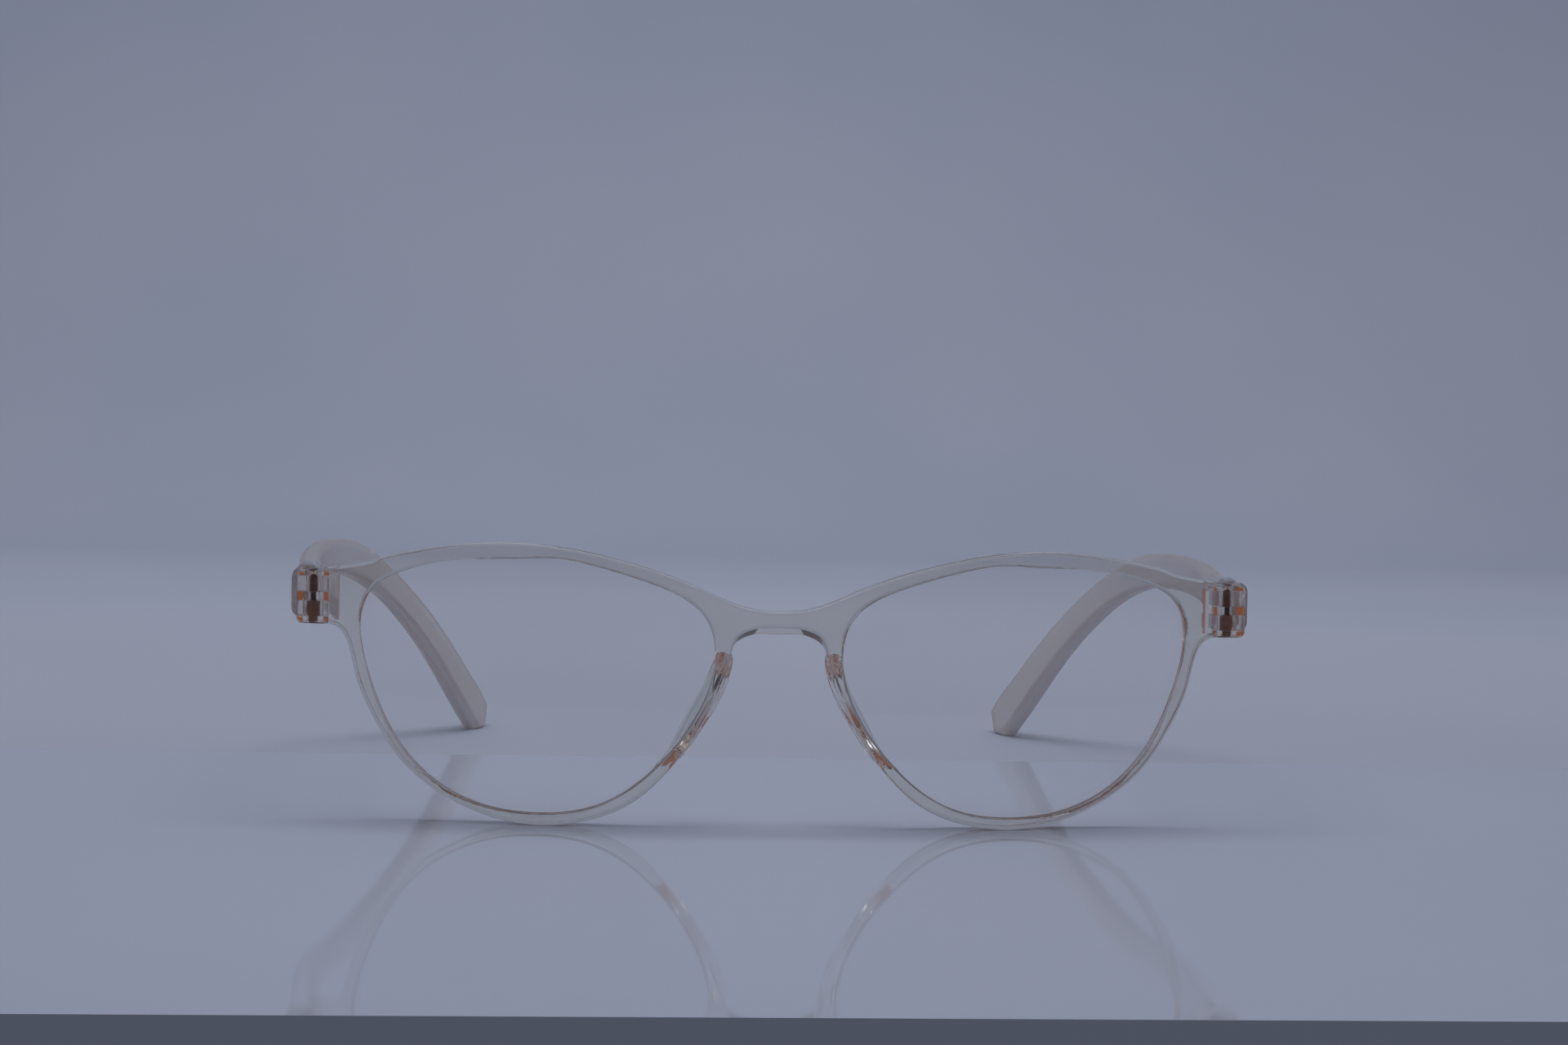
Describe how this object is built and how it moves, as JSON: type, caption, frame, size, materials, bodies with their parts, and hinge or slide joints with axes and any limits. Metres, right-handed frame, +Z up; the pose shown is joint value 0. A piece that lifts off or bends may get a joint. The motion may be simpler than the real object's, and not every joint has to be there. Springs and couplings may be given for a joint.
{
  "type": "eyeglasses",
  "caption": "Colourless moulded spectacles with oval full rims, clear lenses, moulded nose pads and temples that fold on upright screws.",
  "frame": {"origin": "on the table, under the middle of the part's box, temples open", "axes": "+X to the wearer's left along the front, +Z up, so the front faces -Y and the temples run towards +Y"},
  "size_m": [0.1518, 0.1309, 0.04],
  "materials": {
    "clear_plastic": "clear glossy moulded plastic",
    "temple_plastic": "clear moulded plastic, slightly frosted",
    "lens": "polished, uncoloured",
    "screw_steel": "darkened machine screw",
    "insert_metal": "plain turned metal"
  },
  "bodies": {
    "front": {"front_frame": "clear_plastic", "lens_left": "lens", "lens_right": "lens", "hinge_screw_left": "screw_steel", "hinge_screw_right": "screw_steel", "hinge_insert_left": "insert_metal", "hinge_insert_right": "insert_metal"},
    "temple_left_arm": {"temple_left": "temple_plastic"},
    "temple_right_arm": {"temple_right": "temple_plastic"}
  },
  "joints": [
    {"name": "temple_left_fold", "type": "hinge", "parent": "front", "child": "temple_left_arm", "pos_m": [0.0666, -0.0508, 0.0315], "axis": [0, 0, 1], "range_deg": [0, 80]},
    {"name": "temple_right_fold", "type": "hinge", "parent": "front", "child": "temple_right_arm", "pos_m": [-0.0666, -0.0508, 0.0315], "axis": [0, 0, -1], "range_deg": [0, 75]}
  ]
}
